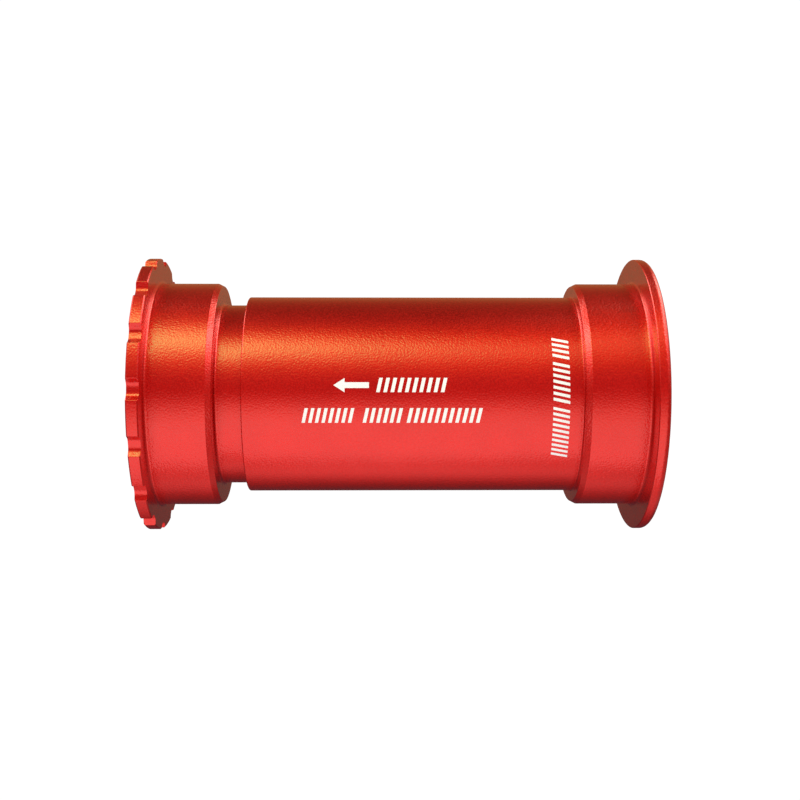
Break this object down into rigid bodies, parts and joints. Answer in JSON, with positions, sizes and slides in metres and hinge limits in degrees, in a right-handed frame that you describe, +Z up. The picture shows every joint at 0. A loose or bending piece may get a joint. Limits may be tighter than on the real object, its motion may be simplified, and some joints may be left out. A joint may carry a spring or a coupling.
{
  "type": "bottom bracket",
  "caption": "Thread-together press-fit bottom bracket: two flanged bearing cups joined by a screwed sleeve, carrying a crank spindle through a bicycle frame.",
  "frame": {"origin": "on the crank axis, halfway between the two flanges, at the centre of the bounding box", "axes": "+X along the crank axis towards the drive side, +Z up as installed, +Y towards the rear of the view"},
  "size_m": [0.0924, 0.0502, 0.0502],
  "materials": {
    "red_anodised": "bead-blasted and red anodised",
    "bearing_steel": "ground bearing steel",
    "ball_steel": "polished bearing steel",
    "cage_nylon": "moulded natural nylon",
    "seal_rubber": "moulded nitrile rubber",
    "ring_rubber": "moulded nitrile rubber",
    "bush_acetal": "turned black acetal",
    "cover_plastic": "moulded black plastic"
  },
  "bodies": {
    "drive_side": {"drive_cup_sleeve": "red_anodised", "drive_outer_race": "bearing_steel", "drive_outboard_seal": "seal_rubber", "drive_inboard_seal": "seal_rubber", "drive_dust_cover": "cover_plastic"},
    "drive_spindle_ring": {"drive_inner_race": "bearing_steel", "drive_spindle_bush": "bush_acetal"},
    "drive_ball_set": {"drive_ball_cage": "cage_nylon", "drive_ball_01": "ball_steel", "drive_ball_02": "ball_steel", "drive_ball_03": "ball_steel", "drive_ball_04": "ball_steel", "drive_ball_05": "ball_steel", "drive_ball_06": "ball_steel", "drive_ball_07": "ball_steel", "drive_ball_08": "ball_steel", "drive_ball_09": "ball_steel", "drive_ball_10": "ball_steel", "drive_ball_11": "ball_steel", "drive_ball_12": "ball_steel", "drive_ball_13": "ball_steel", "drive_ball_14": "ball_steel"},
    "thread_follower": {"neck_o_ring": "ring_rubber"},
    "non_drive_side": {"non_drive_cup": "red_anodised", "non_drive_outer_race": "bearing_steel", "non_drive_outboard_seal": "seal_rubber", "non_drive_inboard_seal": "seal_rubber", "non_drive_dust_cover": "cover_plastic"},
    "non_drive_spindle_ring": {"non_drive_inner_race": "bearing_steel", "non_drive_spindle_bush": "bush_acetal"},
    "non_drive_ball_set": {"non_drive_ball_cage": "cage_nylon", "non_drive_ball_01": "ball_steel", "non_drive_ball_02": "ball_steel", "non_drive_ball_03": "ball_steel", "non_drive_ball_04": "ball_steel", "non_drive_ball_05": "ball_steel", "non_drive_ball_06": "ball_steel", "non_drive_ball_07": "ball_steel", "non_drive_ball_08": "ball_steel", "non_drive_ball_09": "ball_steel", "non_drive_ball_10": "ball_steel", "non_drive_ball_11": "ball_steel", "non_drive_ball_12": "ball_steel", "non_drive_ball_13": "ball_steel", "non_drive_ball_14": "ball_steel"}
  },
  "joints": [
    {"name": "drive_bearing_spin", "type": "hinge", "parent": "drive_side", "child": "drive_spindle_ring", "pos_m": [0.0408, 0, 0], "axis": [1, 0, 0], "continuous": true},
    {"name": "drive_ball_orbit", "type": "hinge", "parent": "drive_side", "child": "drive_ball_set", "pos_m": [0.0408, 0, 0], "axis": [1, 0, 0], "continuous": true},
    {"name": "cup_advance", "type": "slide", "parent": "drive_side", "child": "thread_follower", "axis": [1, 0, 0], "range_m": [-0.00801, 0.00451]},
    {"name": "cup_turn", "type": "hinge", "parent": "thread_follower", "child": "non_drive_side", "pos_m": [-0.0253, 0, 0], "axis": [1, 0, 0], "range_deg": [-2880, 1620]},
    {"name": "non_drive_bearing_spin", "type": "hinge", "parent": "non_drive_side", "child": "non_drive_spindle_ring", "pos_m": [-0.0408, 0, 0], "axis": [1, 0, 0], "continuous": true},
    {"name": "non_drive_ball_orbit", "type": "hinge", "parent": "non_drive_side", "child": "non_drive_ball_set", "pos_m": [-0.0408, 0, 0], "axis": [1, 0, 0], "continuous": true}
  ],
  "couplings": [
    {"joint": "drive_ball_orbit", "follows": "drive_bearing_spin", "ratio": 0.436},
    {"joint": "cup_advance", "follows": "cup_turn", "m_per_rad": 0.00015915},
    {"joint": "non_drive_ball_orbit", "follows": "non_drive_bearing_spin", "ratio": 0.436}
  ]
}
